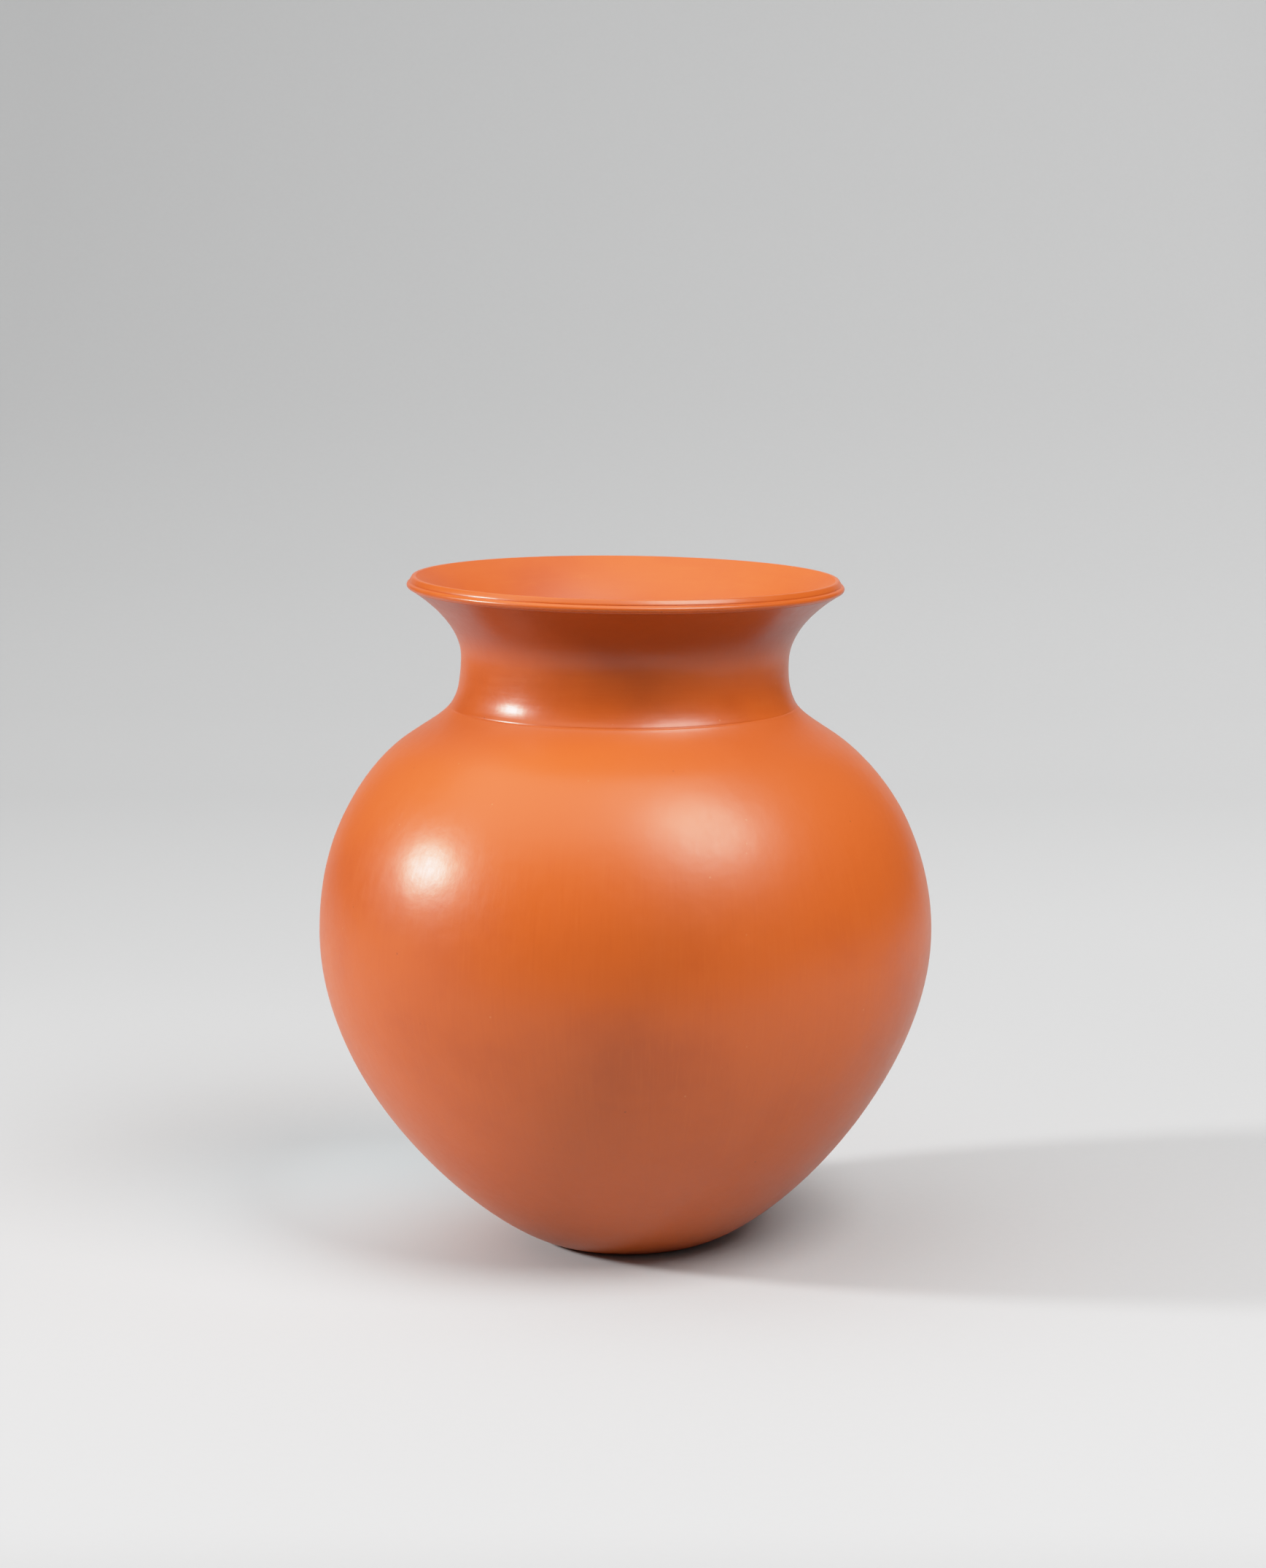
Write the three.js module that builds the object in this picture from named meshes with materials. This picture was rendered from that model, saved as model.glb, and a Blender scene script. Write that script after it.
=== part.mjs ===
// A burnished red-slip earthenware jar: a globular body on a small flat base, a short waisted
// neck that flares to a wide mouth, and a moulded lip. It is raised by hand in five sections,
// and each ends in a bevel that laps the next inside the wall, where the two are luted with slip.
// Millimetres, +Z up, origin at the centre of the base.
import * as THREE from "three";

// Radii of the outer face at its stations, from the base up
const FOOT_RADIUS = 24.7;
const BELLY_RADIUS = 90;
const SHOULDER_RADIUS = 63.7;
const WAIST_RADIUS = 47.8;
const FLARE_RADIUS = 62.4;

// Height of each station above the one below it
const BELLY_RISE = 92.7;
const SHOULDER_RISE = 56.4;
const WAIST_RISE = 23.6;
const FLARE_RISE = 20;

// Slope of the outer face at each station in degrees: 90 is upright, and more leans inward
const FOOT_SLOPE = 12.5;
const BELLY_SLOPE = 90;
const SHOULDER_SLOPE = 145.5;
const WAIST_SLOPE = 90;
const FLARE_SLOPE = 32.5;

// How far the face holds the slope of each end, as shares of the straight line between stations
const LOWER_PULLS = [0.16, 0.41];
const UPPER_PULLS = [0.53, 0.15];
const NECK_PULLS = [0.5, 0.53];
const FLARE_PULLS = [0.32, 0.37];

// Wall thickness at each station
const FOOT_WALL = 7;
const BELLY_WALL = 4.8;
const SHOULDER_WALL = 4.6;
const WAIST_WALL = 4.4;
const FLARE_WALL = 3.9;

// Seams between the sections: heights of the two that lie between stations, the climb of each
// bevel from the outer to the inner face, and the slip-filled gap across it
const BASE_SEAM_RISE = 5.5;
const NECK_SEAM_RISE = 10;
const BODY_LAP = 5;
const NECK_LAP = 3.5;
const LIP_LAP = -3.5;
const LUTE_GAP = 0.3;

// The fine line left open round the root of the neck, over its seam
const NECK_LINE_WIDTH = 1;
const NECK_LINE_DEPTH = 0.3;

// The lip: a round bead over an undercut, a fine groove above it, and a bevel up to the crest
const UNDERCUT_HEIGHT = 0.3;
const BEAD_OVERHANG = 0.3;
const BEAD_RADIUS = 0.9;
const BEAD_ARC = [-100, 65];
const GROOVE_WIDTH = 0.45;
const GROOVE_DEPTH = 0.3;
const BEVEL_SLOPE = 45;
const CREST_REACH = 0.8;
const CREST_ROUND = 0.5;

// Faces round the jar, and steps along each section
const FACETS = 72;
const BASE_STEPS = 4;
const LOWER_STEPS = 10;
const SHOULDER_STEPS = 12;
const NECK_STEPS = 12;
const LIP_STEPS = 2;
const LIP_ARC_STEPS = 5;

const SLIP_RED = 0xcb6530;
const BURNISHED_ROUGHNESS = 0.38;

const at = (radius, height) => new THREE.Vector2(radius, height);

function heading(degrees) {
  const angle = THREE.MathUtils.degToRad(degrees);
  return at(Math.cos(angle), Math.sin(angle));
}

// The outer face: stations joined by curves that hold the slope of each station
const station = (place, slope, wall) => ({ place, slope, wall });

function curveBetween(from, to, [fromPull, toPull]) {
  const span = from.place.distanceTo(to.place);
  const leave = from.place.clone().addScaledVector(heading(from.slope), span * fromPull);
  const arrive = to.place.clone().addScaledVector(heading(to.slope), -span * toPull);
  return new THREE.CubicBezierCurve(from.place, leave, arrive, to.place);
}

const foot = station(at(FOOT_RADIUS, 0), FOOT_SLOPE, FOOT_WALL);
const belly = station(at(BELLY_RADIUS, BELLY_RISE), BELLY_SLOPE, BELLY_WALL);
const shoulderTop = station(
  at(SHOULDER_RADIUS, belly.place.y + SHOULDER_RISE),
  SHOULDER_SLOPE,
  SHOULDER_WALL,
);
const waist = station(at(WAIST_RADIUS, shoulderTop.place.y + WAIST_RISE), WAIST_SLOPE, WAIST_WALL);
const flare = station(at(FLARE_RADIUS, waist.place.y + FLARE_RISE), FLARE_SLOPE, FLARE_WALL);
const stations = [foot, belly, shoulderTop, waist, flare];

const face = new THREE.CurvePath();
[LOWER_PULLS, UPPER_PULLS, NECK_PULLS, FLARE_PULLS].forEach((pulls, i) => {
  face.add(curveBetween(stations[i], stations[i + 1], pulls));
});

// A run is a distance along the outer face from the edge of the foot.
const faceEnd = face.getLength();
const stationRuns = [0, ...face.getCurveLengths()];
const RUN_TOLERANCE = 1e-4;

function runAtHeight(height) {
  let low = 0;
  let high = faceEnd;
  while (high - low > RUN_TOLERANCE) {
    const middle = (low + high) / 2;
    if (face.getPoint(middle / faceEnd).y < height) low = middle;
    else high = middle;
  }
  return low;
}

function wallAt(run) {
  const reached = THREE.MathUtils.clamp(run, RUN_TOLERANCE, faceEnd);
  const next = stationRuns.findIndex((end) => end >= reached);
  const share = (reached - stationRuns[next - 1]) / (stationRuns[next] - stationRuns[next - 1]);
  return THREE.MathUtils.lerp(stations[next - 1].wall, stations[next].wall, share);
}

// Past its end the face runs on straight, at the slope of the flare.
function beneathFace(run, depth) {
  const share = THREE.MathUtils.clamp(run / faceEnd, 0, 1);
  const along = face.getTangent(share);
  const inward = at(-along.y, along.x);
  return face
    .getPoint(share)
    .addScaledVector(along, run - share * faceEnd)
    .addScaledVector(inward, depth);
}

const onFace = (run) => beneathFace(run, 0);
const onInside = (run) => beneathFace(run, wallAt(run));

function pointsAlong(place, from, to, steps) {
  return Array.from({ length: steps + 1 }, (_, i) => place(from + ((to - from) * i) / steps));
}

function arcPoints(centre, radius, fromDegrees, toDegrees) {
  const onArc = (degrees) => centre.clone().addScaledVector(heading(degrees), radius);
  return pointsAlong(onArc, fromDegrees, toDegrees, LIP_ARC_STEPS);
}

// A seam meets the outer face at its run, and its bevel climbs by its lap to the inner face.
const seam = (run, lap, line = false) => ({ run, lap, line });
const baseSeam = seam(runAtHeight(BASE_SEAM_RISE), BODY_LAP);
const bellySeam = seam(stationRuns[1], BODY_LAP);
const neckSeam = seam(runAtHeight(shoulderTop.place.y + NECK_SEAM_RISE), NECK_LAP, true);
const lipSeam = seam(faceEnd, LIP_LAP);

// The bevel slants, so its gap takes up more of the face than its own width.
const halfGapOnFace = ({ run, lap }) => (LUTE_GAP / 2) * Math.hypot(1, lap / wallAt(run));

// Where a section ends at a seam: side is 1 for the section above it and -1 for the one below.
// The open line cuts the section's outer corner back to a point down on the bevel.
function sectionEnd(meets, side) {
  const run = meets.run + side * halfGapOnFace(meets);
  if (!meets.line) return { faceRun: run, insideRun: run + meets.lap, corner: [] };
  const bevelClimb = (meets.lap * NECK_LINE_DEPTH) / wallAt(meets.run);
  return {
    faceRun: meets.run + (side * NECK_LINE_WIDTH) / 2,
    insideRun: run + meets.lap,
    corner: [beneathFace(run + bevelClimb, NECK_LINE_DEPTH)],
  };
}

function revolved(name, profile) {
  const geometry = new THREE.LatheGeometry(profile, FACETS);
  geometry.rotateX(Math.PI / 2);
  const material = new THREE.MeshStandardMaterial({
    color: SLIP_RED,
    roughness: BURNISHED_ROUGHNESS,
    metalness: 0,
  });
  const mesh = new THREE.Mesh(geometry, material);
  mesh.name = name;
  return mesh;
}

const closed = (profile) => [...profile, profile[0]];

// The base is a disc of clay with its edge turned up and bevelled to carry the lower body.
function makeBase() {
  const top = sectionEnd(baseSeam, -1);
  const outside = pointsAlong(onFace, 0, top.faceRun, BASE_STEPS);
  const inside = pointsAlong(onInside, top.insideRun, 0, BASE_STEPS);
  const floorHeight = inside.at(-1).y;
  return revolved("base", [at(0, 0), ...outside, ...inside, at(0, floorHeight)]);
}

// A ring of wall from one seam to the next: up the outer face and down the inner one
function makeWall(name, lowerSeam, upperSeam, steps) {
  const bottom = sectionEnd(lowerSeam, 1);
  const top = sectionEnd(upperSeam, -1);
  const outside = pointsAlong(onFace, bottom.faceRun, top.faceRun, steps);
  const inside = pointsAlong(onInside, top.insideRun, bottom.insideRun, steps);
  return revolved(name, closed([...bottom.corner, ...outside, ...top.corner, ...inside]));
}

// The lip is laid inside the edge of the flare and rolled out over it.
function makeLip() {
  const bottom = sectionEnd(lipSeam, 1);
  const beadCentre = at(
    flare.place.x + BEAD_OVERHANG,
    flare.place.y + UNDERCUT_HEIGHT + BEAD_RADIUS,
  );
  const bead = arcPoints(beadCentre, BEAD_RADIUS, ...BEAD_ARC);
  const beadTop = bead.at(-1);
  const ridge = at(beadTop.x - GROOVE_DEPTH, beadTop.y + GROOVE_WIDTH);
  const groove = at(ridge.x - GROOVE_DEPTH / 2, beadTop.y + GROOVE_WIDTH / 2);
  const crestRun = faceEnd + CREST_REACH;
  const crestCentre = beneathFace(crestRun, FLARE_WALL - CREST_ROUND);
  const crest = arcPoints(crestCentre, CREST_ROUND, BEVEL_SLOPE, 90 + FLARE_SLOPE);
  const inside = pointsAlong(onInside, crestRun, bottom.insideRun, LIP_STEPS).slice(1);
  return revolved("lip", closed([onFace(bottom.faceRun), ...bead, groove, ridge, ...crest, ...inside]));
}

const jar = new THREE.Group();
jar.add(
  makeBase(),
  makeWall("lower_body", baseSeam, bellySeam, LOWER_STEPS),
  makeWall("shoulder", bellySeam, neckSeam, SHOULDER_STEPS),
  makeWall("neck", neckSeam, lipSeam, NECK_STEPS),
  makeLip(),
);

export default jar;
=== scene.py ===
# A burnished red-slip jar, hand raised in five sections, standing on a pale studio floor.
# Metres, +Z up, origin at the centre of the base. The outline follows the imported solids.
import math
from dataclasses import dataclass

import bpy
import numpy as np
from bpy.props import FloatProperty, FloatVectorProperty, IntProperty, PointerProperty
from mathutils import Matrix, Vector, noise
from mathutils.geometry import interpolate_bezier


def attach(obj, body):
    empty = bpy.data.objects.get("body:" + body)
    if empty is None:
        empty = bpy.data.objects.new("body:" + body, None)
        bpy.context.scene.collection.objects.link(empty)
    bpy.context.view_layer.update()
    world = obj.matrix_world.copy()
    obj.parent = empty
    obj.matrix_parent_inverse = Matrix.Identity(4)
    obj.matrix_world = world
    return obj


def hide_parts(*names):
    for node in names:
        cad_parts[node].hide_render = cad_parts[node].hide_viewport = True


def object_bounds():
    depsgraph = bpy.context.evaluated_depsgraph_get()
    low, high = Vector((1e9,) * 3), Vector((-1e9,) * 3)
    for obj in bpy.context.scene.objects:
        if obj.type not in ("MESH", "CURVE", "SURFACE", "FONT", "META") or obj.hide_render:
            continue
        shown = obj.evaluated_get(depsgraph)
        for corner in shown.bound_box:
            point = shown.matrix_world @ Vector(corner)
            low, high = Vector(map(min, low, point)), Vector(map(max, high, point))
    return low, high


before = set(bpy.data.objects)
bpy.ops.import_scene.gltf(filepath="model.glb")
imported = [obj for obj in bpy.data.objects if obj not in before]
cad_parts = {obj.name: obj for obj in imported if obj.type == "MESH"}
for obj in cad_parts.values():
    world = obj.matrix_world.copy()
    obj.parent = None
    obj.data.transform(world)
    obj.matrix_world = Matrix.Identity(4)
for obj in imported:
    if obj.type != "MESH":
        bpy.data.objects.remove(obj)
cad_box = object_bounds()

bl_info = {
    "name": "Burnished Jar",
    "version": (1, 0, 0),
    "blender": (4, 5, 0),
    "location": "View3D > Sidebar > Jar",
    "description": "Builds a hand-raised, burnished red-slip jar over its packed solids",
    "category": "Add Mesh",
}

BODY = "root"

MILLIMETRE = 0.001
MICROMETRE = 0.000001

# Points along each curve of the outline before it is measured out into even steps
CURVE_POINTS = 400
# Each section's first and last step is this short, so its shading runs on into the next one's
HOLDING_STEP = 0.1 * MILLIMETRE
# Edges folded harder than this are creases
CREASE = math.radians(40)
# The lip's corners are cut this often to soften them, each time at this share of both its edges
CORNER_CUTS = 2
CORNER_SHARE = 0.25
# Widest turn between two points of an arc
ARC_STEP = math.radians(12)
# The line round the neck's root: points across it, its reach to each side in widths of the line,
# and the ridge of clay pushed up below it, as a share of its depth and in half widths below it
LINE_POINTS = 40
LINE_REACH = 2.5
RIDGE_SHARE = 0.15
RIDGE_DROP = 2


def length(name, description, millimetres):
    return FloatProperty(
        name=name,
        description=description,
        default=millimetres * MILLIMETRE,
        precision=5,
        unit="LENGTH",
    )


def slope(name, description, degrees):
    return FloatProperty(
        name=name, description=description, default=math.radians(degrees), subtype="ANGLE"
    )


def share(name, description, value):
    return FloatProperty(name=name, description=description, default=value, min=0, max=1)


def pulls(name, description, first, last):
    return FloatVectorProperty(
        name=name, description=description, size=2, default=(first, last), min=0, max=1
    )


def colour(name, description, red, green, blue):
    return FloatVectorProperty(
        name=name, description=description, subtype="COLOR", default=(red, green, blue), min=0, max=1
    )


def watts(name, description, value):
    return FloatProperty(name=name, description=description, default=value, min=0, unit="POWER")


def place(name, description, x, y, z):
    return FloatVectorProperty(
        name=name, description=description, subtype="TRANSLATION", unit="LENGTH", default=(x, y, z)
    )


class JarOutline(bpy.types.PropertyGroup):
    """Stations of the outer face, the curves between them, the wall and its seams"""

    foot_radius: length("Foot radius", "Radius of the flat that the jar stands on", 24.7)
    belly_radius: length("Belly radius", "Radius of the body at its widest", 90)
    shoulder_radius: length("Shoulder radius", "Radius where the shoulder turns to the neck", 63.7)
    waist_radius: length("Waist radius", "Radius of the neck at its narrowest", 47.8)
    flare_radius: length("Flare radius", "Radius of the neck where the lip starts", 62.4)

    belly_rise: length("Belly rise", "Height of the belly above the foot", 92.7)
    shoulder_rise: length("Shoulder rise", "Height of the shoulder above the belly", 56.4)
    waist_rise: length("Waist rise", "Height of the waist above the shoulder", 23.6)
    flare_rise: length("Flare rise", "Height of the flare above the waist", 20)

    foot_slope: slope("Foot slope", "Slope of the face at the foot", 12.5)
    belly_slope: slope("Belly slope", "Slope of the face at the belly", 90)
    shoulder_slope: slope("Shoulder slope", "Slope of the face at the shoulder", 145.5)
    waist_slope: slope("Waist slope", "Slope of the face at the waist", 90)
    flare_slope: slope("Flare slope", "Slope of the face at the flare", 32.5)

    lower_pulls: pulls("Lower pulls", "How far the lower wall holds its end slopes", 0.16, 0.41)
    upper_pulls: pulls("Upper pulls", "How far the shoulder holds its end slopes", 0.53, 0.15)
    neck_pulls: pulls("Neck pulls", "How far the neck holds its end slopes", 0.5, 0.53)
    flare_pulls: pulls("Flare pulls", "How far the flare holds its end slopes", 0.32, 0.37)

    foot_wall: length("Foot wall", "Thickness of the wall at the foot", 7)
    belly_wall: length("Belly wall", "Thickness of the wall at the belly", 4.8)
    shoulder_wall: length("Shoulder wall", "Thickness of the wall at the shoulder", 4.6)
    waist_wall: length("Waist wall", "Thickness of the wall at the waist", 4.4)
    flare_wall: length("Flare wall", "Thickness of the wall at the flare", 3.9)

    base_seam_rise: length("Base seam", "Height of the seam round the base", 5.5)
    neck_seam_rise: length("Neck seam", "Height of the neck's seam above the shoulder", 10)
    body_lap: length("Body lap", "Climb of the body's bevels from the outer to the inner face", 5)
    neck_lap: length("Neck lap", "Climb of the bevel at the root of the neck", 3.5)
    lip_lap: length("Lip lap", "Climb of the bevel under the lip", -3.5)
    neck_line_width: length("Neck line width", "Width of the line round the neck's root", 0.55)
    neck_line_depth: length("Neck line depth", "Depth of the line round the neck's root", 0.09)

    facets: IntProperty(name="Facets", description="Faces round the jar", default=256, min=12)
    step: length("Step", "Length of the faces along the wall", 1.5)


class LipMoulding(bpy.types.PropertyGroup):
    """The lip: a round bead over an undercut, a fine groove, and a bevel up to the crest"""

    undercut_height: length("Undercut", "Height of the undercut below the bead", 0.3)
    bead_overhang: length("Bead overhang", "How far the bead's middle stands past the flare", 0.3)
    bead_radius: length("Bead radius", "Radius of the bead's round", 0.9)
    bead_start: slope("Bead start", "Where the bead's round starts, under the lip", -100)
    bead_end: slope("Bead end", "Where the bead's round ends, at the groove", 65)
    groove_width: length("Groove width", "Height of the groove above the bead", 0.45)
    groove_depth: length("Groove depth", "How far the ridge stands back from the bead", 0.3)
    bevel_slope: slope("Bevel slope", "Where the crest's round takes over from the bevel", 45)
    crest_reach: length("Crest reach", "How far the crest stands past the flare", 0.8)
    crest_round: length("Crest round", "Radius of the crest", 0.9)


class HandWork(bpy.types.PropertyGroup):
    """How the real jar departs from a true turned form"""

    rim_lean: slope("Rim lean", "How far the rim dips to the right", 0.7)
    lean_start: length("Lean start", "Height at which the neck starts to lean", 150)
    wave_depth: length("Wave depth", "Depth of the wall's unevenness", 0.1)
    wave_length: length("Wave length", "Distance from one wave of the wall to the next", 34)


class SlipFinish(bpy.types.PropertyGroup):
    """Colours and gloss of the burnished slip, and of the bare clay inside, with the colours of the shade
    painted under the lip and towards the foot
    """

    slip: colour("Slip", "Colour of most of the slip", 0.575, 0.109, 0.0125)
    thin_slip: colour("Thin slip", "Colour where the slip lies thinner", 0.595, 0.125, 0.017)
    # The slip turns paler towards the shoulder
    paler_shoulder_slip: colour("Paler shoulder slip", "Colour the slip turns towards the shoulder", 0.61, 0.125, 0.022)
    # Also the colour of the shade painted towards the foot
    dense_slip_and_foot_shade: colour("Dense slip and foot shade", "Colour where the slip is denser, and of the shade painted towards the foot", 0.51, 0.09, 0.01)
    # Painted shade on the neck under the lip, where the lip overhangs it
    painted_lip_shade: colour("Painted lip shade", "Colour of the shade painted on the neck under the lip", 0.375, 0.061, 0.0075)
    clay: colour("Clay", "Colour of the bare clay inside", 0.32, 0.12, 0.05)
    dark_speck: colour("Dark speck", "Colour of the dark specks in the clay", 0.2, 0.05, 0.015)
    pale_speck: colour("Pale speck", "Colour of the pale grit in the clay", 0.65, 0.24, 0.09)
    gloss: share("Gloss", "Roughness of the burnished body", 0.37)
    neck_gloss: share("Neck gloss", "Roughness of the neck and lip, burnished harder", 0.33)
    inner_gloss: share("Inner gloss", "Roughness of the slip inside the neck", 0.55)
    matt: share("Matt", "Roughness of the bare clay", 0.72)


class Studio(bpy.types.PropertyGroup):
    """Floor, backdrop, lights and camera"""

    paper: colour("Paper", "Colour of the paper under and behind the jar", 0.4415, 0.443, 0.4435)
    # Painted light that fills in the jar's shadow on the paper round the foot
    painted_shadow_fill: colour("Painted shadow fill", "Colour of the light painted on the paper into the jar's shadow", 0.705, 0.82, 0.85)
    floor: colour("Floor", "Colour of the studio's own floor", 0.1, 0.1, 0.1)
    room_light: share("Room light", "Strength of the light from all round", 0.06)
    key_place: place("Key light", "Place of the small light on the left", -2.26, -0.23, 1.01)
    key_size: length("Key size", "Width of the small light on the left", 300)
    key_power: watts("Key power", "Power of the small light on the left", 58)
    fill_place: place("Fill light", "Place of the soft light on the right", 0.82, -0.79, 1.58)
    fill_size: length("Fill size", "Width of the bright middle of the soft light", 1150)
    fill_power: watts("Fill power", "Power of the bright middle of the soft light", 36)
    halo_size: length("Halo size", "Width of the soft light with its dim edge", 3000)
    halo_power: watts("Halo power", "Power of the dim edge of the soft light", 8)
    top_place: place("Top light", "Place of the light thrown back by the ceiling", -0.6, -0.2, 2.5)
    top_size: length("Top size", "Width of the light thrown back by the ceiling", 3600)
    top_power: watts("Top power", "Power of the light thrown back by the ceiling", 48)
    camera_place: place("Camera", "Place of the camera", 0.00215, -1.05597, 0.3063)
    camera_pitch: slope("Camera pitch", "How far the camera looks down", 9.192)
    lens: FloatProperty(name="Lens", description="Focal length of the lens", default=83.72, unit="CAMERA")


# The middle of the jar wanders sideways as it rises: heights, and shifts to the right of the axis
WANDER_HEIGHTS = [mm * MILLIMETRE for mm in (0, 50, 94, 125, 150, 165, 180, 198)]
WANDER_SHIFTS = [mm * MILLIMETRE for mm in (0.58, -0.34, -0.08, -0.45, -1.08, -0.45, 0, 0)]


@dataclass
class Station:
    """A place on the outer face, with the face's slope and the wall's thickness there"""

    radius: float
    height: float
    slope: float
    wall: float

    @property
    def at(self):
        return Vector((self.radius, self.height))


@dataclass
class Seam:
    """Where two sections meet: the run at the outer face, and the climb of the bevel"""

    run: float
    lap: float


def heading(angle):
    return Vector((math.cos(angle), math.sin(angle)))


class OuterFace:
    """The outer face as a path from the edge of the foot; a run is a distance along it."""

    def __init__(self, outline):
        self.outline = outline
        self.stations = self.place_stations()
        self.trace()

    def place_stations(self):
        o = self.outline
        rises = np.cumsum([0, o.belly_rise, o.shoulder_rise, o.waist_rise, o.flare_rise])
        radii = (o.foot_radius, o.belly_radius, o.shoulder_radius, o.waist_radius, o.flare_radius)
        slopes = (o.foot_slope, o.belly_slope, o.shoulder_slope, o.waist_slope, o.flare_slope)
        walls = (o.foot_wall, o.belly_wall, o.shoulder_wall, o.waist_wall, o.flare_wall)
        return [Station(*values) for values in zip(radii, rises, slopes, walls)]

    def trace(self):
        """Measures the curves between the stations."""
        o = self.outline
        points = [self.stations[0].at]
        ends = [0]
        all_pulls = (o.lower_pulls, o.upper_pulls, o.neck_pulls, o.flare_pulls)
        for lower, upper, (leave, arrive) in zip(self.stations, self.stations[1:], all_pulls):
            span = (upper.at - lower.at).length
            first_handle = lower.at + heading(lower.slope) * span * leave
            last_handle = upper.at - heading(upper.slope) * span * arrive
            points += interpolate_bezier(
                lower.at, first_handle, last_handle, upper.at, CURVE_POINTS
            )[1:]
            ends.append(len(points) - 1)
        self.points = np.array(points)
        steps = np.linalg.norm(np.diff(self.points, axis=0), axis=1)
        self.runs = np.concatenate([[0], np.cumsum(steps)])
        self.station_runs = self.runs[ends]
        self.end = self.runs[-1]

    def run_at_height(self, height):
        return float(np.interp(height, self.points[:, 1], self.runs))

    def wall_at(self, run):
        return float(np.interp(run, self.station_runs, [s.wall for s in self.stations]))

    def point(self, run):
        """The point at a run; past its ends the face runs on straight."""
        within = min(max(run, 0), self.end)
        here = Vector([np.interp(within, self.runs, values) for values in self.points.T])
        return here + self.along(within) * (run - within)

    def along(self, run):
        """Which way the face heads at a run."""
        within = min(max(run, 0), self.end)
        index = int(np.clip(np.searchsorted(self.runs, within), 1, len(self.runs) - 1))
        low, high = max(index - 2, 0), min(index + 1, len(self.runs) - 1)
        return Vector(self.points[high] - self.points[low]).normalized()

    def beneath(self, run, depth):
        """The point at a depth below the face."""
        along = self.along(run)
        return self.point(run) + Vector((-along.y, along.x)) * depth

    def inside(self, run):
        return self.beneath(run, self.wall_at(run))

    def base_seam(self):
        return Seam(self.run_at_height(self.outline.base_seam_rise), self.outline.body_lap)

    def belly_seam(self):
        return Seam(self.station_runs[1], self.outline.body_lap)

    def neck_seam(self):
        height = self.stations[2].height + self.outline.neck_seam_rise
        return Seam(self.run_at_height(height), self.outline.neck_lap)

    def lip_seam(self):
        return Seam(self.end, self.outline.lip_lap)


def even_runs(start, end, step):
    """Runs from start to end in even steps, with a short one at each end."""
    hold = math.copysign(HOLDING_STEP, end - start)
    count = max(2, round(abs(end - start) / step))
    return [start, *np.linspace(start + hold, end - hold, count), end]


def line_depth(face, run):
    """How deep the soft line round the neck's root is at a run; the clay below it is pushed up."""
    outline = face.outline
    across = (run - face.neck_seam().run) / (outline.neck_line_width / 2)
    groove = math.exp(-across * across)
    ridge = math.exp(-((across + RIDGE_DROP) ** 2))
    return outline.neck_line_depth * (groove - RIDGE_SHARE * ridge)


def outer_runs(face, start, end):
    """Runs up the outer face of a section, closer together where the neck's line is."""
    reach = LINE_REACH * face.outline.neck_line_width
    line = face.neck_seam().run
    near = np.linspace(line - reach, line + reach, LINE_POINTS)
    runs = [run for run in even_runs(start, end, face.outline.step) if abs(run - line) >= reach]
    return sorted({*runs, *near[(near > start) & (near < end)], start, end})


def wall_outline(face, lower, upper):
    """The cut through a ring of wall: up its outer face and down its inner one."""
    runs = outer_runs(face, lower.run, upper.run)
    outside = [face.beneath(run, line_depth(face, run)) for run in runs]
    inner_runs = even_runs(upper.run + upper.lap, lower.run + lower.lap, face.outline.step)
    return outside, [face.inside(run) for run in inner_runs]


def base_outline(face):
    """The cut through the base, from the middle of its underside round to its floor."""
    seam = face.base_seam()
    step = face.outline.step
    floor_height = face.inside(0).y
    foot_radius = face.outline.foot_radius
    steps_in = max(1, round(foot_radius / step))
    radii = np.linspace(0, foot_radius, steps_in, endpoint=False)
    outside = [Vector((radius, 0)) for radius in radii]
    outside += [face.point(run) for run in even_runs(0, seam.run, step)]
    inside = [face.inside(run) for run in even_runs(seam.run + seam.lap, 0, step)]
    edge = inside[-1].x
    inside += [Vector((radius, floor_height)) for radius in np.linspace(edge, 0, steps_in)[1:]]
    return outside, inside


def arc(centre, radius, start, end):
    """Points round an arc, from one angle to another."""
    count = max(2, round(abs(end - start) / ARC_STEP))
    return [centre + heading(angle) * radius for angle in np.linspace(start, end, count + 1)]


def soften(points):
    """Cuts the corners of a path, and keeps its ends."""
    for _ in range(CORNER_CUTS):
        cut = [points[0]]
        for a, b in zip(points, points[1:]):
            cut += [a.lerp(b, CORNER_SHARE), a.lerp(b, 1 - CORNER_SHARE)]
        points = [*cut, points[-1]]
    return points


def lip_outline(face, lip):
    """The cut through the lip: undercut, bead, groove, bevel and crest, then down inside."""
    seam = face.lip_seam()
    flare = face.stations[-1]
    bead_middle = flare.at + Vector((lip.bead_overhang, lip.undercut_height + lip.bead_radius))
    bead = arc(bead_middle, lip.bead_radius, lip.bead_start, lip.bead_end)
    ridge = bead[-1] + Vector((-lip.groove_depth, lip.groove_width))
    groove = Vector((ridge.x - lip.groove_depth / 2, (bead[-1].y + ridge.y) / 2))
    crest_run = face.end + lip.crest_reach
    crest_middle = face.beneath(crest_run, flare.wall - lip.crest_round)
    crest = arc(crest_middle, lip.crest_round, lip.bevel_slope, math.pi / 2 + flare.slope)
    outside = soften([face.point(seam.run), *bead, groove, ridge, *crest])
    inner_runs = even_runs(crest_run, seam.run + seam.lap, face.outline.step)[1:]
    return outside, [face.inside(run) for run in inner_runs]


def eased(values, knots, targets):
    """Passes through each target at its knot, and levels out there."""
    knots, targets = np.array(knots), np.array(targets)
    index = np.clip(np.searchsorted(knots, values) - 1, 0, len(knots) - 2)
    t = np.clip((values - knots[index]) / (knots[index + 1] - knots[index]), 0, 1)
    return targets[index] + (targets[index + 1] - targets[index]) * t * t * (3 - 2 * t)


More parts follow.
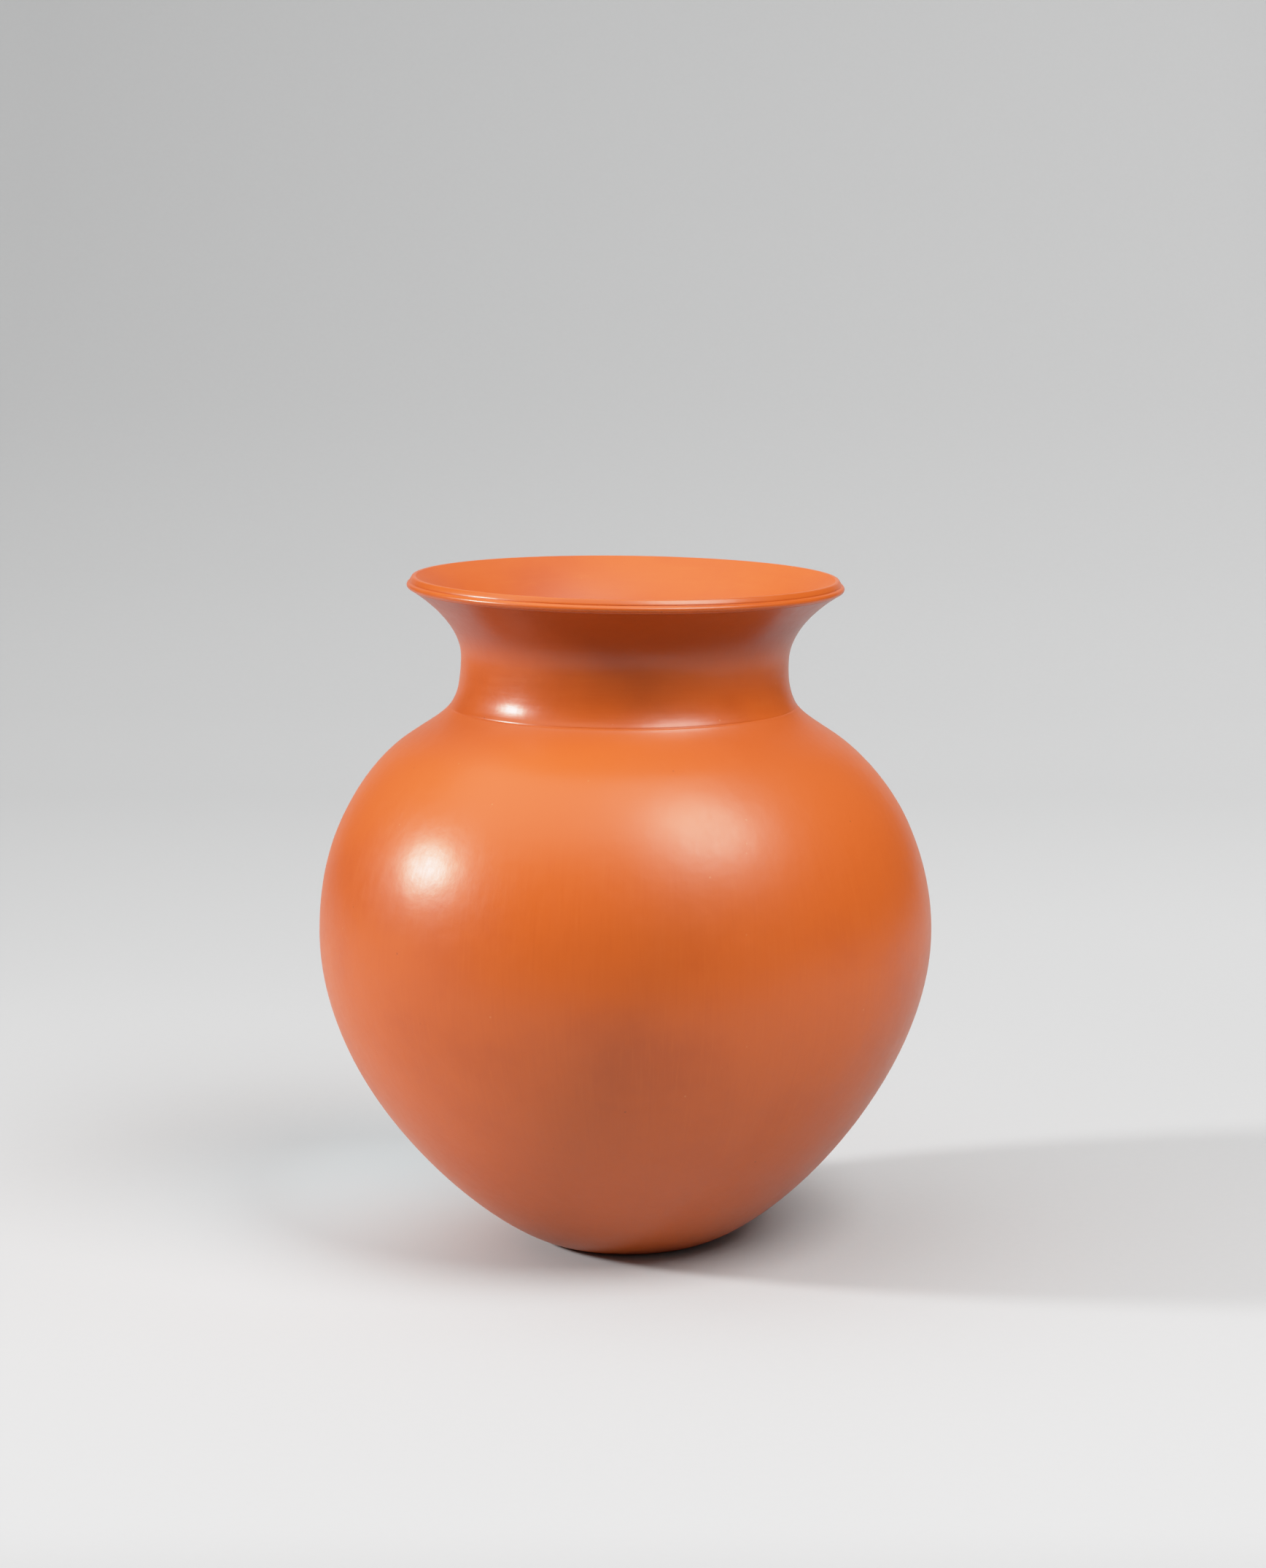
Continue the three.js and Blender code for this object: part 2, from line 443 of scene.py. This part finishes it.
def by_hand(points, hand):
    """Moves the points of the true form to where the potter's hands left them."""
    x, y, height = points.T
    waves = np.array([noise.noise(Vector(point) / hand.wave_length) for point in points])
    # The foot runs true, so the jar stands flat.
    waves *= hand.wave_depth * np.clip(height / hand.wave_length, 0, 1)
    # The middle of the base lies on the axis, where a radius of nothing can't be divided by.
    radius = np.maximum(np.hypot(x, y), MILLIMETRE)
    lean = eased(height, [hand.lean_start, cad_box[1].z], [0, math.tan(hand.rim_lean)])
    wander = eased(height, WANDER_HEIGHTS, WANDER_SHIFTS)
    return np.column_stack(
        [x + x / radius * waves + wander, y + y / radius * waves, height - lean * x]
    )


def revolve(name, outside, inside, facets, hand):
    """Turns a cut through the wall into a closed piece; its inner face is marked for the material."""
    cut = [*outside, *inside]
    edges = [(i, i + 1) for i in range(len(cut) - 1)]
    if cut[0].x > 0:
        edges.append((len(cut) - 1, 0))
    mesh = bpy.data.meshes.new(name)
    mesh.from_pydata([(point.x, 0, point.y) for point in cut], edges, [])
    inner = mesh.attributes.new("inner_face", "FLOAT", "POINT")
    inner.data.foreach_set("value", [0] * len(outside) + [1] * len(inside))
    piece = bpy.data.objects.new(name, mesh)
    bpy.context.scene.collection.objects.link(piece)
    turn = piece.modifiers.new("turn", "SCREW")
    turn.steps = turn.render_steps = facets
    turn.use_normal_flip = True
    turn.use_merge_vertices = True
    turn.merge_threshold = MICROMETRE
    turned = piece.evaluated_get(bpy.context.evaluated_depsgraph_get())
    piece.data = bpy.data.meshes.new_from_object(turned)
    piece.modifiers.clear()
    shape_by_hand(piece.data, hand)
    return piece


def shape_by_hand(mesh, hand):
    points = np.empty(len(mesh.vertices) * 3)
    mesh.vertices.foreach_get("co", points)
    mesh.vertices.foreach_set("co", by_hand(points.reshape(-1, 3), hand).ravel())
    mesh.update()
    mesh.shade_smooth()
    mesh.set_sharp_from_angle(angle=CREASE)


class NodeSheet:
    """Lays out a material's nodes and joins them."""

    def __init__(self, name):
        self.material = bpy.data.materials.new(name)
        self.material.use_nodes = True
        self.tree = self.material.node_tree
        self.shader = self.tree.nodes["Principled BSDF"]

    def add(self, kind, *inputs, **settings):
        """Adds a node; an input is a value, the socket that feeds it, or None to leave it be."""
        node = self.tree.nodes.new(kind)
        for key, value in settings.items():
            setattr(node, key, value)
        for socket, value in zip(node.inputs, inputs):
            self.feed(socket, value)
        return node

    def feed(self, socket, value):
        if isinstance(value, bpy.types.NodeSocket):
            self.tree.links.new(value, socket)
        elif value is not None:
            socket.default_value = value

    def maths(self, operation, *inputs):
        return self.add("ShaderNodeMath", *inputs, operation=operation).outputs[0]

    def vector(self, operation, *inputs):
        return self.add("ShaderNodeVectorMath", *inputs, operation=operation).outputs[0]

    def noise(self, coordinates, scale, detail=2, roughness=0.5):
        node = self.add("ShaderNodeTexNoise")
        self.feed(node.inputs["Vector"], coordinates)
        node.inputs["Scale"].default_value = scale
        node.inputs["Detail"].default_value = detail
        node.inputs["Roughness"].default_value = roughness
        return node.outputs["Fac"]

    def fade(self, value, start, end, low=0, high=1):
        """Goes smoothly from low to high as the value goes from start to end."""
        node = self.add("ShaderNodeMapRange", value, start, end, low, high)
        node.interpolation_type = "SMOOTHSTEP"
        return node.outputs[0]

    def mix(self, factor, first, second, data_type="RGBA"):
        node = self.add("ShaderNodeMix", data_type=data_type)
        self.feed(node.inputs["Factor"], factor)
        self.feed(node.inputs["A"], first)
        self.feed(node.inputs["B"], second)
        return node.outputs["Result"]


def opaque(values):
    return (*values, 1)


@dataclass
class Burnish:
    """How a section is burnished: the changes of its marks in a radian round it and in a metre up it, their
    depth in micrometres, its roughness, how far its slip turns paler on the shoulder, and how much painted
    shade it takes under the lip, from 0 to 1"""

    around: float
    along: float
    depth: float
    roughness: float
    shoulder_paling: float = 0
    painted_lip_shade_amount: float = 0


def body_burnish(finish):
    return Burnish(around=110, along=70, depth=3, roughness=finish.gloss, shoulder_paling=1)


def neck_burnish(finish):
    return Burnish(around=3, along=700, depth=20, roughness=finish.neck_gloss, painted_lip_shade_amount=1)


def lip_burnish(finish):
    return Burnish(around=3, along=700, depth=8, roughness=finish.neck_gloss)


# How often each unevenness of the slip changes in a metre; wheel marks change most from low to high
PATCH_SCALE = 22
DIMPLE_SCALE = 60
GRAIN_SCALE = 380
SPECK_SCALE = 300
WHEEL_SCALE = (4, 4, 420)

# Each speck of grit has a random value from 0 to 1, and these ranges of it show dark or pale
DARK_SPECKS = (0.98, 1.1)
PALE_SPECKS = (0.94, 0.98)
# Where a speck starts and where it is full, out from its middle, as shares of the specks' spacing
SPECK_EDGE = (0.13, 0.05)
SPECK_STRENGTH = 0.45

# Heights from which and up to which the slip turns paler on the shoulder, painted shade darkens it to the
# foot, and painted shade comes in under the lip
PALER_SHOULDER = (0.11, 0.15)
PAINTED_FOOT_SHADE = (0.07, 0.015)
PAINTED_FOOT_SHADE_STRENGTH = 0.7
PAINTED_LIP_SHADE_HEIGHTS = (0.173, 0.184)
# Heights between which the slip ends inside the neck, and how far its edge strays
SLIP_EDGE = (0.158, 0.154)
SLIP_EDGE_STRAY = 0.012

# Values of a mark from which and up to which it changes the colour, and how strongly at each
DARK_PATCHES = (0.45, 0.75, 0, 1)
THIN_STROKES = (0.5, 0.85, 0, 0.5)
DARK_STROKES = (0.5, 0.2, 0, 0.3)

# How much each mark changes the roughness, from its lowest value to its highest
STROKE_ROUGHNESS = 0.07
DIMPLE_ROUGHNESS = 0.06
GRAIN_ROUGHNESS = 0.1

# Height of each mark's relief, in micrometres; a section's own strokes have theirs in its burnish
DIMPLE_RELIEF = 230
GRAIN_RELIEF = 9
WHEEL_RELIEF = 60
SPECK_RELIEF = -12


def stroke_marks(sheet, position, burnish):
    """Marks of the burnishing stone, from 0 to 1: up the body, and round the neck and lip."""
    flat = sheet.vector("MULTIPLY", position, (1, 1, 0))
    direction = sheet.vector("NORMALIZE", flat)
    spread = sheet.vector("SCALE", direction)
    spread.node.inputs["Scale"].default_value = burnish.around
    climb = sheet.vector("MULTIPLY", position, (0, 0, burnish.along))
    return sheet.noise(sheet.vector("ADD", spread, climb), 1, detail=3, roughness=0.6)


def specks(sheet, cells, rarity, lowest, highest):
    """A speck in the middle of each of the few cells whose random value lies between the two."""
    chosen = sheet.maths(
        "MULTIPLY",
        sheet.maths("GREATER_THAN", rarity, lowest),
        sheet.maths("LESS_THAN", rarity, highest),
    )
    return sheet.maths("MULTIPLY", sheet.fade(cells.outputs["Distance"], *SPECK_EDGE), chosen)


class SlipMarks:
    """Where a point of the jar's face lies, and every mark on the slip there, as sockets."""

    def __init__(self, sheet, burnish):
        position = sheet.add("ShaderNodeTexCoord").outputs["Object"]
        self.height = sheet.add("ShaderNodeSeparateXYZ", position).outputs["Z"]
        self.inner = sheet.add("ShaderNodeAttribute", attribute_name="inner_face").outputs["Fac"]
        self.strokes = stroke_marks(sheet, position, burnish)
        self.patches = sheet.noise(position, PATCH_SCALE, detail=4, roughness=0.55)
        self.dimples = sheet.noise(position, DIMPLE_SCALE, detail=6)
        self.grain = sheet.noise(position, GRAIN_SCALE, detail=3, roughness=0.7)
        self.wheel = sheet.noise(sheet.vector("MULTIPLY", position, WHEEL_SCALE), 1, detail=1)

        cells = sheet.add("ShaderNodeTexVoronoi", position)
        cells.inputs["Scale"].default_value = SPECK_SCALE
        rarity = sheet.add("ShaderNodeSeparateColor", cells.outputs["Color"]).outputs[0]
        self.dark = specks(sheet, cells, rarity, *DARK_SPECKS)
        self.pale = specks(sheet, cells, rarity, *PALE_SPECKS)

        # The slip ends at a ragged edge a little way down inside the neck.
        ragged = sheet.maths("MULTIPLY_ADD", self.patches, SLIP_EDGE_STRAY, self.height)
        self.bare = sheet.maths("MULTIPLY", self.inner, sheet.fade(ragged, *SLIP_EDGE))


def slip_colour(sheet, marks, finish, burnish):
    """The slip's colour, uneven by the stroke and by the patch, paler on the shoulder, with painted shade
    towards the foot and under the lip, and with the bare clay and the specks.
    """

    def over(below, strength, above):
        return sheet.mix(strength, below, opaque(above))

    # The slip turns paler towards the shoulder
    shoulder_paling = sheet.fade(marks.height, *PALER_SHOULDER, 0, burnish.shoulder_paling)
    # Painted shade darkens the slip towards the foot
    foot_shade = sheet.fade(marks.height, *PAINTED_FOOT_SHADE, 0, PAINTED_FOOT_SHADE_STRENGTH)
    # Painted shade on the outside of the neck under the lip, where the lip overhangs it
    under_lip = sheet.fade(marks.height, *PAINTED_LIP_SHADE_HEIGHTS, 0, burnish.painted_lip_shade_amount)
    painted_lip_shade_amount = sheet.mix(marks.inner, under_lip, 0.0, "FLOAT")

    tint = over(opaque(finish.slip), sheet.fade(marks.patches, *DARK_PATCHES), finish.dense_slip_and_foot_shade)
    tint = over(tint, sheet.fade(marks.strokes, *THIN_STROKES), finish.thin_slip)
    tint = over(tint, sheet.fade(marks.strokes, *DARK_STROKES), finish.dense_slip_and_foot_shade)
    tint = over(tint, shoulder_paling, finish.paler_shoulder_slip)
    tint = over(tint, foot_shade, finish.dense_slip_and_foot_shade)
    tint = over(tint, painted_lip_shade_amount, finish.painted_lip_shade)
    tint = over(tint, marks.bare, finish.clay)
    tint = over(tint, sheet.maths("MULTIPLY", marks.dark, SPECK_STRENGTH), finish.dark_speck)
    return over(tint, sheet.maths("MULTIPLY", marks.pale, SPECK_STRENGTH), finish.pale_speck)


def slip_roughness(sheet, marks, finish, burnish):
    """Satin outside, duller on the slip inside the neck, and matt on the bare clay."""
    # The marks average a half, so half their sum comes off to leave the section's own roughness.
    average = (STROKE_ROUGHNESS + DIMPLE_ROUGHNESS + GRAIN_ROUGHNESS) / 2
    uneven = sheet.maths("MULTIPLY_ADD", marks.strokes, STROKE_ROUGHNESS, burnish.roughness - average)
    uneven = sheet.maths("MULTIPLY_ADD", marks.dimples, DIMPLE_ROUGHNESS, uneven)
    uneven = sheet.maths("MULTIPLY_ADD", marks.grain, GRAIN_ROUGHNESS, uneven)
    slipped = sheet.mix(marks.inner, uneven, finish.inner_gloss, "FLOAT")
    return sheet.mix(marks.bare, slipped, finish.matt, "FLOAT")


def slip_relief(sheet, marks, burnish):
    """Shallow dimples, fine grain and strokes, sunk specks, and wheel marks on the bare clay."""
    relief = sheet.maths("MULTIPLY", marks.dimples, DIMPLE_RELIEF)
    relief = sheet.maths("MULTIPLY_ADD", marks.grain, GRAIN_RELIEF, relief)
    relief = sheet.maths("MULTIPLY_ADD", marks.strokes, burnish.depth, relief)
    wheel_inside = sheet.maths("MULTIPLY", marks.wheel, marks.bare)
    relief = sheet.maths("MULTIPLY_ADD", wheel_inside, WHEEL_RELIEF, relief)
    sunk = sheet.maths("ADD", marks.dark, marks.pale)
    relief = sheet.maths("MULTIPLY_ADD", sunk, SPECK_RELIEF, relief)
    bump = sheet.add("ShaderNodeBump")
    bump.inputs["Distance"].default_value = MICROMETRE
    sheet.feed(bump.inputs["Height"], relief)
    return bump.outputs["Normal"]


def make_slip(name, finish, burnish):
    """Iron-rich slip, burnished to a satin gloss, over low-fired clay that is bare inside."""
    sheet = NodeSheet(name)
    marks = SlipMarks(sheet, burnish)
    sockets = sheet.shader.inputs
    sheet.feed(sockets["Base Color"], slip_colour(sheet, marks, finish, burnish))
    sheet.feed(sockets["Roughness"], slip_roughness(sheet, marks, finish, burnish))
    sheet.feed(sockets["Normal"], slip_relief(sheet, marks, burnish))
    sockets["IOR"].default_value = 1.5
    return sheet.material


# The stage's faint tooth: how often it changes in a metre, and how much of the tone it takes
TOOTH_SCALE = 400
TOOTH_DEPTH = 0.03

# Painted light and shade on the paper, as from and to, and its tone at each: it is shaded darker as it
# climbs and to the left, is lit lighter in front than behind, and is darker at its front edge. From and to
# are how far the sheet has run back and up from under the jar, or how far to the right of the jar for the
# side's.
RISING_TONE = (0.8, 1.6, 1.05, 0.87)
FRONT_TONE = (-0.3, 0.42, 1.07, 0.97)
EDGE_TONE = (-0.3, -0.24, 0.84, 1)
SIDE_TONE = (-0.4, 0.4, -0.11, 0.18)
# How far back the side's tone comes in
SIDE_TONE_START = (0.1, 0.5)
# Painted light round the foot, which fills in the jar's shadow on the paper and takes out the reddish light
# the jar throws on it: its middle, its reach, and how sharply it falls off
PAINTED_SHADOW_FILL_MIDDLE = (-0.045, 0.04, 0)
PAINTED_SHADOW_FILL_REACH = 0.18
PAINTED_SHADOW_FILL_FALL = 2


def matt_sheet(name):
    """Starts a matt material for the stage; gives its sheet, the position and the faint tooth."""
    sheet = NodeSheet(name)
    sheet.shader.inputs["Roughness"].default_value = 0.9
    sheet.shader.inputs["Specular IOR Level"].default_value = 0.2
    position = sheet.add("ShaderNodeTexCoord").outputs["Object"]
    pattern = sheet.noise(position, TOOTH_SCALE)
    tooth = sheet.maths("MULTIPLY_ADD", pattern, TOOTH_DEPTH, 1 - TOOTH_DEPTH / 2)
    return sheet, position, tooth


def make_floor(studio):
    """The studio's own floor, dull and dark."""
    sheet, _, tooth = matt_sheet("studio_floor")
    tint = sheet.vector("MULTIPLY", tuple(studio.floor), tooth)
    sheet.feed(sheet.shader.inputs["Base Color"], tint)
    return sheet.material


def make_paper(studio):
    """The paper, with painted shade that darkens it as it climbs and to the left, painted light that makes
    it lighter in front, and painted light round the foot that fills in the jar's shadow.
    """
    sheet, position, tooth = matt_sheet("paper")
    parts = sheet.add("ShaderNodeSeparateXYZ", position).outputs
    # Painted shade and light over the paper: darker as it climbs and to the left, lighter in front, darker
    # at the front edge
    climb = sheet.maths("ADD", parts["Y"], parts["Z"])
    across = sheet.add("ShaderNodeMapRange", parts["X"], *SIDE_TONE).outputs[0]
    across = sheet.maths("MULTIPLY", across, sheet.fade(climb, *SIDE_TONE_START))
    tone = sheet.maths("ADD", across, sheet.fade(climb, *RISING_TONE))
    tone = sheet.maths("MULTIPLY", tone, sheet.fade(climb, *FRONT_TONE))
    tone = sheet.maths("MULTIPLY", tone, sheet.fade(climb, *EDGE_TONE))
    tone = sheet.maths("MULTIPLY", tone, tooth)
    plain = sheet.vector("MULTIPLY", tuple(studio.paper), tone)
    # Painted light round the foot fills in the jar's shadow
    off_middle = sheet.vector("DISTANCE", position, PAINTED_SHADOW_FILL_MIDDLE)
    patch = sheet.fade(off_middle.node.outputs["Value"], PAINTED_SHADOW_FILL_REACH, 0)
    patch = sheet.maths("POWER", patch, PAINTED_SHADOW_FILL_FALL)
    tint = sheet.mix(patch, plain, opaque(studio.painted_shadow_fill))
    sheet.feed(sheet.shader.inputs["Base Color"], tint)
    return sheet.material


def dress(piece, node, material):
    """Gives a piece its material, and puts it in place of its solid."""
    piece.data.materials.append(material)
    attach(piece, BODY)
    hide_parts(node)


def build(context, name, node, make_outline, burnished):
    """Makes one section of the jar from its cut and dresses it."""
    scene = context.scene
    face = OuterFace(scene.jar_outline)
    outside, inside = make_outline(face)
    piece = revolve(name, outside, inside, scene.jar_outline.facets, scene.jar_hand)
    finish = scene.jar_finish
    material = make_slip(name + "_slip", finish, burnished(finish))
    dress(piece, node, material)


class JAR_OT_base(bpy.types.Operator):
    """Add the base: a disc of clay whose turned-up edge carries the lower wall"""

    bl_idname = "jar.add_base"
    bl_label = "Base"

    def execute(self, context):
        build(context, "base_skin", "base", base_outline, body_burnish)
        return {"FINISHED"}


class JAR_OT_lower_body(bpy.types.Operator):
    """Add the lower wall, from the base up to the belly"""

    bl_idname = "jar.add_lower_body"
    bl_label = "Lower body"

    def execute(self, context):
        def outline(face):
            return wall_outline(face, face.base_seam(), face.belly_seam())

        build(context, "lower_body_skin", "lower_body", outline, body_burnish)
        return {"FINISHED"}


class JAR_OT_shoulder(bpy.types.Operator):
    """Add the upper wall, from the belly in to the root of the neck"""

    bl_idname = "jar.add_shoulder"
    bl_label = "Shoulder"

    def execute(self, context):
        def outline(face):
            return wall_outline(face, face.belly_seam(), face.neck_seam())

        build(context, "shoulder_skin", "shoulder", outline, body_burnish)
        return {"FINISHED"}


class JAR_OT_neck(bpy.types.Operator):
    """Add the waisted neck and its flare"""

    bl_idname = "jar.add_neck"
    bl_label = "Neck"

    def execute(self, context):
        def outline(face):
            return wall_outline(face, face.neck_seam(), face.lip_seam())

        build(context, "neck_skin", "neck", outline, neck_burnish)
        return {"FINISHED"}


class JAR_OT_lip(bpy.types.Operator):
    """Add the moulded lip round the mouth"""

    bl_idname = "jar.add_lip"
    bl_label = "Lip"

    def execute(self, context):
        def outline(face):
            return lip_outline(face, context.scene.jar_lip)

        build(context, "lip_skin", "lip", outline, lip_burnish)
        return {"FINISHED"}


# The paper lies on the studio's floor, runs back, and sweeps up into the backdrop
SWEEP_FRONT = -0.34
SWEEP_BEND = 0.8
SWEEP_RADIUS = 0.8
SWEEP_TOP = 2.6
SWEEP_HALF_WIDTH = 0.8
PAPER_LIFT = 0.002
STUDIO_HALF_WIDTH = 6.0


def add_strip(name, path, half_width, material):
    """A strip of stage, from side to side of the jar, that follows a path of depths and heights."""
    verts = [(side, p.x, p.y) for p in path for side in (-half_width, half_width)]
    faces = [(i, i + 1, i + 3, i + 2) for i in range(0, len(verts) - 2, 2)]
    mesh = bpy.data.meshes.new(name)
    mesh.from_pydata(verts, [], faces)
    mesh.shade_smooth()
    mesh.materials.append(material)
    strip = bpy.data.objects.new(name, mesh)
    bpy.context.scene.collection.objects.link(strip)


def add_sweep(material):
    bend = arc(Vector((SWEEP_BEND, SWEEP_RADIUS)), SWEEP_RADIUS, -math.pi / 2, 0)
    top = Vector((SWEEP_BEND + SWEEP_RADIUS, SWEEP_TOP))
    add_strip("sweep", [Vector((SWEEP_FRONT, 0)), *bend, top], SWEEP_HALF_WIDTH, material)


def add_studio_floor(material):
    path = [Vector((side, -PAPER_LIFT)) for side in (-STUDIO_HALF_WIDTH, STUDIO_HALF_WIDTH)]
    add_strip("studio_floor", path, STUDIO_HALF_WIDTH, material)


def light_room(scene, strength):
    """Weak light from all round, from the rest of the studio."""
    scene.world = bpy.data.worlds.new("room")
    scene.world.use_nodes = True
    background = scene.world.node_tree.nodes["Background"]
    background.inputs["Color"].default_value = (1, 1, 1, 1)
    background.inputs["Strength"].default_value = strength


def add_softbox(name, location, target, size, power):
    lamp = bpy.data.lights.new(name, "AREA")
    lamp.shape = "DISK"
    lamp.size = size
    lamp.energy = power
    light = bpy.data.objects.new(name, lamp)
    light.location = location
    light.rotation_mode = "QUATERNION"
    light.rotation_quaternion = (Vector(target) - Vector(location)).to_track_quat("-Z", "Y")
    bpy.context.scene.collection.objects.link(light)


def add_camera(studio):
    lens = bpy.data.cameras.new("camera")
    lens.lens = studio.lens
    lens.sensor_width = 36
    camera = bpy.data.objects.new("camera", lens)
    camera.location = studio.camera_place
    camera.rotation_euler = (math.pi / 2 - studio.camera_pitch, 0, 0)
    bpy.context.scene.collection.objects.link(camera)
    bpy.context.scene.camera = camera


# Light is shown as it is up to the knee, and beyond it ever more gently, short of white
KNEE = 0.6
HEADROOM = 1 - KNEE
# The curve that works on red, green and blue alike, and the lights at its points after black
COMBINED_CURVE = 3
CURVE_LIGHTS = (0.3, KNEE, 0.8, 1.0, 1.25, 1.6)


def rolled_off(light):
    if light <= KNEE:
        return light
    return KNEE + HEADROOM * (1 - math.exp((KNEE - light) / HEADROOM))


def develop(scene):
    """Rolls off the bright end as a camera does, so the gloss doesn't burn out."""
    shown = scene.view_settings
    shown.view_transform = "Standard"
    shown.use_curve_mapping = True
    *lights, brightest = CURVE_LIGHTS
    shown.curve_mapping.white_level = (brightest,) * 3
    points = shown.curve_mapping.curves[COMBINED_CURVE].points
    for light in lights:
        points.new(light / brightest, rolled_off(light))
    points[len(points) - 1].location = (1, rolled_off(brightest))
    shown.curve_mapping.update()


class JAR_OT_stage(bpy.types.Operator):
    """Add the floor and backdrop, the studio lights and the camera"""

    bl_idname = "jar.add_stage"
    bl_label = "Stage"

    def execute(self, context):
        studio = context.scene.jar_studio
        add_sweep(make_paper(studio))
        add_studio_floor(make_floor(studio))
        middle = (cad_box[0] + cad_box[1]) / 2
        add_softbox("key", studio.key_place, middle, studio.key_size, studio.key_power)
        add_softbox("fill", studio.fill_place, middle, studio.fill_size, studio.fill_power)
        add_softbox("halo", studio.fill_place, middle, studio.halo_size, studio.halo_power)
        add_softbox("top", studio.top_place, middle, studio.top_size, studio.top_power)
        light_room(context.scene, studio.room_light)
        develop(context.scene)
        add_camera(studio)
        return {"FINISHED"}


class JAR_PT_panel(bpy.types.Panel):
    """The jar's pieces and stage, one button each"""

    bl_idname = "JAR_PT_panel"
    bl_label = "Burnished Jar"
    bl_space_type = "VIEW_3D"
    bl_region_type = "UI"
    bl_category = "Jar"

    def draw(self, context):
        for operator in OPERATORS:
            self.layout.operator(operator.bl_idname)


OPERATORS = (
    JAR_OT_base,
    JAR_OT_lower_body,
    JAR_OT_shoulder,
    JAR_OT_neck,
    JAR_OT_lip,
    JAR_OT_stage,
)
SETTINGS = {
    "jar_outline": JarOutline,
    "jar_lip": LipMoulding,
    "jar_hand": HandWork,
    "jar_finish": SlipFinish,
    "jar_studio": Studio,
}


def register():
    for cls in (*SETTINGS.values(), *OPERATORS, JAR_PT_panel):
        bpy.utils.register_class(cls)
    for name, group in SETTINGS.items():
        setattr(bpy.types.Scene, name, PointerProperty(type=group))


def unregister():
    for name in SETTINGS:
        delattr(bpy.types.Scene, name)
    for cls in (JAR_PT_panel, *reversed(OPERATORS), *SETTINGS.values()):
        bpy.utils.unregister_class(cls)


def main():
    register()
    bpy.ops.jar.add_base()
    bpy.ops.jar.add_lower_body()
    bpy.ops.jar.add_shoulder()
    bpy.ops.jar.add_neck()
    bpy.ops.jar.add_lip()
    bpy.ops.jar.add_stage()


if __name__ == "__main__":
    main()
